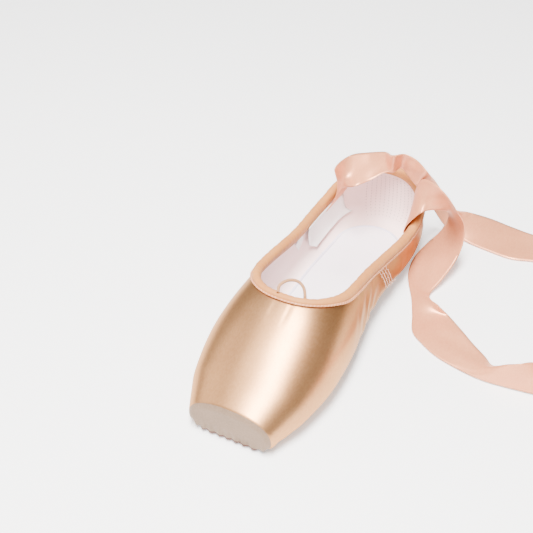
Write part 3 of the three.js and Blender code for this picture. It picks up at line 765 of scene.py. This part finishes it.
def add_binding(cloth, flange, thread):
    middle, out, up, length = collar_frames(190)
    count = len(middle)
    spans = len(BINDING)
    loop = catmull(BINDING + BINDING[:2], (spans + 1) * PROFILE_STEPS + 1)[: spans * PROFILE_STEPS]
    s = np.linspace(0, length, count, endpoint=False)
    pucker = 0.07 * np.sin(s / 0.7 + 2.2 * np.sin(s / 7.0))
    pucker += 0.06 * np.sin(s / 1.9 + 1.5 * np.sin(s / 11.0))
    # The puckers show on the outer roll only
    casing = soft_step(-2.4, 0.0, loop[:, 1])
    roll = casing * soft_step(0.3, 2.2, np.hypot(loop[:, 0], loop[:, 1] - 0.2))
    rows = []
    for k in range(count):
        profile = loop.copy()
        profile[:, 1] *= np.where(loop[:, 1] < 0, flange_share(middle[k, 1]), 1)
        profile *= 1 + (roll * pucker[k] / 2.6)[:, None]
        rows.append(middle[k] + profile[:, :1] * out[k] + profile[:, 1:] * up[k])
    rows.append(rows[0])
    points = np.array(rows)
    faces = grid_faces(*points.shape[:2], wrap=True)
    column = faces[:, 0] % len(loop)
    stitched = (loop[column, 0] > 1.6) & (loop[column, 1] < -2.3)
    points = points.reshape(-1, 3)
    binding = mesh_piece("binding_casing", points, faces, [cloth, flange], stitched, merge=0.005)
    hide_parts("binding")
    stitches = []
    for lower, place, share in FLANGE_STITCHES:
        line = middle + place * out + lower * flange_share(middle[:, 1:2]) * up
        marks = spaced(np.vstack([line, line[:1]]), FLANGE_STITCH_PITCH)
        stitches += [(a, a + (b - a) * share) for a, b in zip(marks[:-1], marks[1:])]
    piece = stitch_piece("binding_stitches", stitches, FLANGE_STITCH_RADIUS, thread)


# Insole and outsole: plates over an outline of half widths

PLATE_COLUMNS = 120
STATION_PITCH = 1.6
LEAST_HALF = 0.4
FULL_CROWN_HALF = 12


def plate_piece(name, stations, half_at, under, thickness, corner, crown, materials, border):
    """Plate with rounded edges; past the border, a share of the width, the second material starts."""
    spin = np.linspace(0, 2 * np.pi, PLATE_COLUMNS, endpoint=False)
    cx = np.sign(np.cos(spin)) * np.abs(np.cos(spin)) ** corner
    cz = np.sign(np.sin(spin)) * np.abs(np.sin(spin)) ** (2.2 * corner)
    rows = []
    for y in stations:
        half = half_at(y)
        swell = crown * (1 - cx**2) * (cz > 0) * min(1, half / FULL_CROWN_HALF)
        height = under(y) + thickness / 2 * (1 + cz) + swell
        rows.append(np.stack([half * cx, np.full(PLATE_COLUMNS, y), height], axis=-1))
    points = np.array(rows)
    faces = tube_faces(len(points), PLATE_COLUMNS)
    kinds = [int(abs(cx[f[0] % PLATE_COLUMNS]) > border) for f in faces[:-2]] + [1, 1]
    return mesh_piece(name, points.reshape(-1, 3), faces, materials, kinds, merge=0.001)


def end_stations(start, end, round_length, count):
    """Places along a plate, closer together at its two rounded ends."""
    ends = round_length * (1 - np.cos(np.linspace(0, np.pi / 2, count)))
    middle = np.arange(start + round_length, end - round_length, STATION_PITCH)
    return np.unique(np.round(np.concatenate([start + ends, middle, end - ends]), 4))


def add_outsole(leather, edge):
    def half(y):
        return max(float(sole_half(share_of(y), 0)), LEAST_HALF)

    def under(y):
        return float(section_at(share_of(y), 0)[3]) - GAP - SOLE_THICKNESS

    start, end = lengthwise(SOLE_TIP_AT) + 0.01, lengthwise(SOLE_END_AT) - 0.01
    sole = plate_piece(
        "leather_outsole", end_stations(start, end, SOLE_ROUND, 22), half, under, SOLE_THICKNESS,
        corner=0.08, crown=0.0, materials=[leather, edge], border=0.93,
    )
    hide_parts("outsole")


# The rolled edge of the insole's cloth
RIM_INSET = 1.5
RIM_LIFT = 0.1
RIM_RADIUS = 0.75


def add_insole(cloth, edge):
    start, end = lengthwise(INSOLE_TIP_AT), lengthwise(INSOLE_END_AT)

    def half(y):
        at = share_of(y)
        close = float(closing(y, start, end, INSOLE_ROUND, HEEL_POWER))
        inner_half, _, girth, base = section_at(at, wall_at(at))
        climb = np.clip((GAP + INSOLE_THICKNESS) / (girth - base), 0, 1)
        inner = inner_half * (TREAD_SHARE + (1 - TREAD_SHARE) * rounding(1 - climb, LOWER_POWER))
        return max(LEAST_HALF, close * float(inner - INSOLE_CLEARANCE))

    def under(y):
        at = share_of(y)
        return float(section_at(at, wall_at(at))[3]) + GAP * 1.5

    stations = end_stations(start, end, INSOLE_ROUND, 26)
    edge_line = np.array([
        (half(y) - RIM_INSET, y, under(y) + INSOLE_THICKNESS + RIM_LIFT)
        for y in stations if half(y) > 2 * RIM_INSET
    ])
    rim_loop = np.vstack([edge_line, edge_line[::-1] * [-1, 1, 1]])
    rim = piping_piece("insole_rim", rim_loop, RIM_RADIUS, edge)
    insole = plate_piece(
        "cloth_insole", stations, half, under, INSOLE_THICKNESS,
        corner=0.12, crown=0.35, materials=[cloth, edge], border=0.9,
    )
    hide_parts("insole")


# Ribbons: edge curves a and b, from the seat on the lining to the free end

RIBBON_WIDTH = 23.0
RIBBON_SEAT_AT = 0.85
RIBBON_STEPS = 10
RIBBON_COLUMNS = 15
RIBBON_FLOOR_GAP = 0.12

# Depth below the collar's edge and distance off the lining, of the sewn end
SEAT_ROWS = [(15, 1.0), (10, 1.3), (5, 2.4), (0, 4)]

# Rows of x, y, z on edge a and x, y, z on edge b, as in the part's source
RIBBON_LEFT = [
    (-25, 71, 61.8, -22, 79, 43.2),
    (-23, 94, 60, -12, 74, 51),
    (-14, 100, 61, -5, 82, 53),
    (-6, 107, 60, 2, 89, 57),
    (8, 88, 72.8, 7, 91, 58),
    (13, 93, 72.4, 10, 98, 58),
    (21, 92, 71.4, 17, 93, 57),
    (32, 83, 71.6, 23, 90, 54.5),
    (32, 101, 54, 30, 89, 49.5),
    (34, 112, 40, 27, 117, 21.6),
    (42, 118, 24, 37, 122, 4.6),
    (48, 137, 10, 52, 117, 1.5),
    (61, 145, 4, 70, 114, 1),
    (76, 146, 1.5, 87, 113, 1),
    (92, 145, 1, 100, 117, 1),
    (125, 147, 1.5, 128, 124, 1),
    (146, 147, 9, 148, 126, 1),
    (164, 142, 20, 167, 129.5, 1),
    (183, 143, 23.4, 184, 141, 0.8),
    (190, 158, 23.6, 191.5, 158, 0.8),
    (181, 173, 23, 184, 177, 0.8),
    (164, 172, 14, 166, 190, 0.8),
    (143, 171, 3.5, 144, 194, 1),
    (114, 176, 1.2, 117, 199, 1),
]
RIBBON_RIGHT = [
    (27, 87, 60, 35, 71, 48),
    (38, 78, 68, 39, 77, 48),
    (48, 75, 64.6, 44, 83, 46),
    (54, 84, 48, 45, 97, 35),
    (59, 89, 34.8, 44, 101, 26.2),
    (60, 87, 20, 41, 98, 18),
    (59, 78, 12, 35, 92, 10),
    (56, 65, 6, 31, 80, 5),
    (53, 52, 2, 33, 65, 2.5),
    (63, 40, 6.7, 44, 44, 1),
    (71, 39, 2, 50, 30, 1),
    (83, 29, 3, 56, 16, 1),
    (93, 21, 3, 65, 9, 1),
    (103, 13, 4, 76, 3, 1),
    (110, 4, 8, 91, -1, 1),
    (119, -1, 17, 106, -3, 1),
    (126, -1, 20.6, 121, -2, 1),
    (132, 4, 20.2, 137, 0, 1),
    (158, 22, 9, 163, 2, 1),
    (180, 24, 6, 184, 2, 1),
    (203, 17, 15.5, 204, -1, 1),
    (221, -4, 23, 219, -8, 0.8),
    (226, -22, 23.4, 225, -23, 0.8),
    (214, -43, 21.8, 213, -35, 0.8),
    (195, -57, 10, 194, -36, 0.8),
    (172, -62, 1.5, 173, -39, 1),
]


def seat_rows(side):
    """Edge points on the lining, below the collar's edge."""
    reach = RIBBON_WIDTH / 2 / LENGTH
    rows = []
    for drop, inset in SEAT_ROWS:
        pair = []
        for at in (RIBBON_SEAT_AT + reach, RIBBON_SEAT_AT - reach):
            turn = float(collar_turn(at)) - drop / (INSTEP_HEIGHT * 0.85)
            pair.append(form_points(at, turn, wall_at(at) + inset) * [side, 1, 1])
        rows.append(np.concatenate(pair))
    return rows


def add_ribbon(name, node, side, table, material):
    rows = np.vstack([seat_rows(side), np.array(table)])
    count = (len(rows) - 1) * RIBBON_STEPS + 1
    a, b = catmull(rows[:, :3], count), catmull(rows[:, 3:], count)
    across = np.linspace(0, 1, RIBBON_COLUMNS)
    sheet = a[:, None] * (1 - across)[None, :, None] + b[:, None] * across[None, :, None]
    n = normals_of(sheet)
    s = np.linspace(0, 1, count)[:, None]
    # Faint ripples where the ribbon isn't sewn down
    free = soft_step(0.16, 0.25, s)
    swing = np.sin(2 * np.pi * (across[None] + 9 * s + side))
    ripple = 0.35 * free * swing * np.sin(np.pi * across[None])
    sheet = sheet + n * ripple[..., None]
    # Thicker at its two selvedges, and never through the floor
    thick = (0.19 + 0.07 * (np.abs(across - 0.5) > 0.45))[None, :, None]
    top, bottom = sheet + n * thick, sheet - n * thick
    bottom[..., 2] = np.maximum(bottom[..., 2], RIBBON_FLOOR_GAP)
    top[..., 2] = np.maximum(top[..., 2], bottom[..., 2] + 0.3)
    ring = np.concatenate([top, bottom[:, ::-1]], axis=1)
    ribbon = mesh_piece(name, ring.reshape(-1, 3), tube_faces(count, ring.shape[1]), [material])
    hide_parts(node)


# Drawstring: a short loop of cord standing out of the casing at the throat

CORD_DIAMETER = 1.8
CORD_STEPS = 8
DRAWSTRING = [
    (-3, -49.5, 59.5), (-3.4, -46.3, 61.8), (-0.5, -41, 62.6), (4, -38.5, 61.6),
    (8, -39.5, 59.6), (10.9, -43.3, 56.4), (10.3, -43.5, 51.8),
]


def add_drawstring(material):
    points = catmull(DRAWSTRING, (len(DRAWSTRING) - 1) * CORD_STEPS + 1)
    curve = bpy.data.curves.new("drawstring_cord", "CURVE")
    curve.dimensions = "3D"
    curve.bevel_depth = CORD_DIAMETER / 2 * MM
    curve.bevel_resolution = 5
    curve.use_fill_caps = True
    curve.materials.append(material)
    spline = curve.splines.new("POLY")
    spline.points.add(len(points) - 1)
    for point, place in zip(spline.points, points):
        point.co = (*(place * MM), 1.0)
    spline.use_smooth = True
    cord = add_object("drawstring_cord", curve)
    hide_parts("drawstring_loop")


# Small sewn things

# Corners in (at, turn), and the distance off the lining's form
LABEL_CORNERS = [(0.725, 1.62), (0.663, 2.3), (0.9, 2.17), (0.941, 1.7)]
LABEL_INSET = 2.9
TAG_CORNERS = [(0.636, 2.04), (0.606, 2.16), (0.64, 2.24), (0.667, 2.1)]
TAG_INSET = 0.7
PATCH_STEPS = 15
PATCH_THICKNESS = 0.3

# Zigzag rows at the side seam: shifts along the shoe, and the stitches' sizes
SEAM_ROWS = (-0.012, -0.004, 0.004, 0.012)
SEAM_ROW_DROP = 0.02
SEAM_STITCH_LIFT = 0.75
SEAM_STITCH_PITCH = 1.7
SEAM_STITCH_LEAN = np.array([0, 0.55, 0.15])
SEAM_STITCH_RADIUS = 0.2

# Upright rows at the heel's lining: places across the shoe, and the stitches' sizes
LINING_ROWS = np.arange(1.5, 18.0, 3.2)
LINING_ROW_TOP = 0.1
LINING_ROW_FOOT = 1.3
LINING_STITCH_INSET = 0.3
LINING_STITCH_PITCH = 2.3
LINING_STITCH_SHARE = 0.3
LINING_STITCH_RADIUS = 0.28


def add_patch(name, corners, inset, material):
    """Thin label on the left inner wall."""
    first, second, third, fourth = (np.array(corner) for corner in corners)
    steps = np.linspace(0, 1, PATCH_STEPS)
    grid = []
    for u in steps:
        low = first * (1 - u) + fourth * u
        high = second * (1 - u) + third * u
        row = []
        for v in steps:
            at, turn = low * (1 - v) + high * v
            row.append(form_points(at, turn, wall_at(at) + inset) * [-1, 1, 1])
        grid.append(row)
    grid = np.array(grid)
    lift = normals_of(grid) * PATCH_THICKNESS / 2
    ring = np.concatenate([grid + lift, (grid - lift)[:, ::-1]], axis=1)
    faces = tube_faces(PATCH_STEPS, ring.shape[1])
    patch = mesh_piece(name, ring.reshape(-1, 3), faces, [material], merge=0.001)


def add_seam_stitches(thread):
    stitches = []
    for side in (1, -1):
        for row, shift in enumerate(SEAM_ROWS):
            offset = [shift, SEAM_ROW_DROP * row]
            top, foot = np.array(SEAM_TOP) + offset, np.array(SEAM_FOOT) + offset
            line = [
                on_form(*(top * (1 - u) + foot * u), SEAM_STITCH_LIFT, side)[0]
                for u in np.linspace(0.04, 1, 30)
            ]
            zigzag = []
            for k, mark in enumerate(spaced(line, SEAM_STITCH_PITCH)):
                swing = (1 if k % 2 else -1) * (0.8 + 0.5 * math.sin(5 * k + row))
                zigzag.append(mark + SEAM_STITCH_LEAN * swing)
            stitches += list(zip(zigzag[:-1], zigzag[1:]))
    piece = stitch_piece("side_seam_stitches", stitches, SEAM_STITCH_RADIUS, thread, 5)


def add_lining_stitches(thread):
    """Upright rows of small stitches round the back of the heel's lining."""
    stitches = []
    half_heel = float(along(SECTIONS, WIDE, 1.0)) * HALF
    for side in (1, -1):
        for across in LINING_ROWS:
            back = float(rounding(across / half_heel, HEEL_POWER))
            at = 1 - HEEL_ROUND / LENGTH * (1 - back)
            turns = np.linspace(float(collar_turn(at)) - LINING_ROW_TOP, LINING_ROW_FOOT, 40)
            line = form_points(at, turns, wall_at(at) + LINING_STITCH_INSET) * [side, 1, 1]
            marks = spaced(line, LINING_STITCH_PITCH)
            stitches += [(a, a + (b - a) * LINING_STITCH_SHARE) for a, b in zip(marks[:-1], marks[1:])]
    piece = stitch_piece("heel_lining_stitches", stitches, LINING_STITCH_RADIUS, thread, 5)


def add_floor():
    mesh = bpy.data.meshes.new("floor")
    near, far = -FLOOR_HALF, FLOOR_HALF
    corners = [(near, near, 0), (far, near, 0), (far, far, 0), (near, far, 0)]
    mesh.from_pydata(corners, [], [(0, 1, 2, 3)])
    s = Shader("studio_floor", Roughness=0.7)
    s.colour(s.ramp(s.noise(3.0), [(0.3, (0.93, 0.93, 0.94)), (0.7, (0.95, 0.95, 0.96))]))
    s.bsdf.inputs["Emission Color"].default_value = WHITE
    s.bsdf.inputs["Emission Strength"].default_value = FLOOR_GLOW
    mesh.materials.append(s.material)
    floor = bpy.data.objects.new("floor", mesh)
    bpy.context.scene.collection.objects.link(floor)


def add_world():
    world = bpy.data.worlds.new("studio")
    world.use_nodes = True
    background = world.node_tree.nodes["Background"]
    background.inputs["Color"].default_value = WHITE
    background.inputs["Strength"].default_value = WORLD_STRENGTH
    bpy.context.scene.world = world


add_camera()
add_floor()

# A painted contact shadow for the satin's lower edge under the toe
CONTACT_SHADOW_COLOUR = (0.06, 0.012, 0.006)
# The gold satin's back colour is painted shade on the quarters behind the throat
satin = satin_material(
    "satin_gold", lit=(0.54, 0.28, 0.125), shade=(0.47, 0.23, 0.10), edge=(0.44, 0.22, 0.09),
    metallic=0.9, rough=0.35, back=(0.27, 0.125, 0.04), contact_shadow=CONTACT_SHADOW_COLOUR,
)
# The platform's satin: duller, and its colour darker as painted shade
shaded_toe_satin = satin_material(
    "satin_toe_painted_shade", lit=(0.23, 0.153, 0.105), shade=(0.19, 0.126, 0.085), edge=(0.26, 0.175, 0.125),
    metallic=0.15, rough=0.5, contact_shadow=CONTACT_SHADOW_COLOUR,
)
# Dark brown painted shade for the satin low under the front
underside_shade = cloth_material("painted_underside_shade", (0.20, 0.055, 0.025), (0.13, 0.03, 0.015), 1800.0, 0.8)
ribbon_satin = satin_material(
    "ribbon_satin", lit=(0.78, 0.335, 0.175), shade=(0.71, 0.285, 0.147), edge=(0.83, 0.41, 0.25),
    metallic=0.3, rough=0.36,
)
binding_cloth = cloth_material(
    "binding_cloth", (0.53, 0.225, 0.065), (0.46, 0.175, 0.05), 2200.0, 0.6, sheen=0.02,
)
flange_cloth = cloth_material(
    "binding_flange", (0.55, 0.235, 0.10), (0.46, 0.17, 0.07), 2200.0, 0.6, sheen=0.02,
)
lining_cloth = cloth_material("lining_cloth", (0.99, 0.79, 0.76), (0.97, 0.74, 0.71), 2600.0, 0.8)
insole_cloth = cloth_material("insole_cloth", (0.91, 0.83, 0.88), (0.88, 0.80, 0.86), 2600.0, 0.75)
insole_edge = cloth_material("insole_edge", (0.66, 0.58, 0.72), (0.80, 0.75, 0.85), 2600.0, 0.6)
label_cloth = cloth_material("label_cloth", (0.97, 0.96, 0.95), (0.94, 0.93, 0.92), 3000.0, 0.6)
leather = cloth_material(
    "sole_leather", (0.50, 0.33, 0.20), (0.42, 0.26, 0.15), 400.0, 0.75, depth=0.0001, sheen=0.1,
)
leather_edge = cloth_material(
    "sole_edge", (0.32, 0.17, 0.09), (0.26, 0.13, 0.07), 400.0, 0.7, depth=0.0001, sheen=0.1,
)
cord_cloth = cloth_material(
    "drawstring_cotton", (0.40, 0.20, 0.09), (0.32, 0.15, 0.065), 3500.0, 0.7, depth=0.0001,
)
thread = cloth_material("sewing_thread", (0.70, 0.36, 0.22), (0.62, 0.28, 0.16), 3000.0, 0.6)
seam_thread = cloth_material("seam_thread", (0.86, 0.58, 0.47), (0.78, 0.50, 0.40), 3000.0, 0.6)
lining_thread = cloth_material("lining_thread", (0.66, 0.50, 0.50), (0.58, 0.43, 0.43), 3000.0, 0.6)

add_drawstring(cord_cloth)
add_ribbon("satin_ribbon_left", "ribbon_left", -1, RIBBON_LEFT, ribbon_satin)
add_ribbon("satin_ribbon_right", "ribbon_right", 1, RIBBON_RIGHT, ribbon_satin)
add_upper(satin, shaded_toe_satin, underside_shade, lining_cloth)
add_binding(binding_cloth, flange_cloth, thread)
add_insole(insole_cloth, insole_edge)
add_outsole(leather, leather_edge)
add_patch("bare_label", LABEL_CORNERS, LABEL_INSET, label_cloth)
add_patch("bare_tag", TAG_CORNERS, TAG_INSET, label_cloth)
add_seam_stitches(seam_thread)
add_lining_stitches(lining_thread)

for light in LIGHTS:
    add_light(*light)
add_world()
